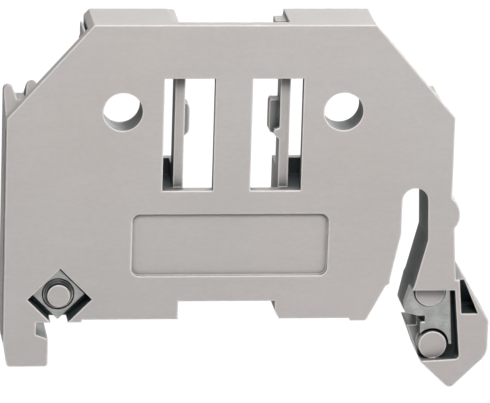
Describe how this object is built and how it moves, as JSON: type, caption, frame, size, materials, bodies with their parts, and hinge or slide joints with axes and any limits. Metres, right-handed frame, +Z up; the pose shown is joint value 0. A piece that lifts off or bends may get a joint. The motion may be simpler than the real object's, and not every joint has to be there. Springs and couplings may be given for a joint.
{
  "type": "din rail end stop",
  "caption": "Screwless end stop that snaps on a 35 mm top-hat rail: a moulded plastic body with a hook, a spring foot, a marker slot, windows and steel clamping plates.",
  "frame": {"origin": "middle of the rail's flange plane, where the body's seats rest on the rail, halfway through the body's thickness", "axes": "X across the rail from the hook to the spring foot, Y along the rail with the smooth front face towards -Y, Z up away from the rail"},
  "size_m": [0.0447, 0.006, 0.0345],
  "materials": {
    "grey_plastic": "light grey moulded polyamide with a fine matt mould texture",
    "clamp_steel": "stamped spring steel, dull grey"
  },
  "bodies": {
    "root": {"body": "grey_plastic", "clamp_plate_left": "clamp_steel", "clamp_plate_foot": "clamp_steel"}
  },
  "joints": []
}
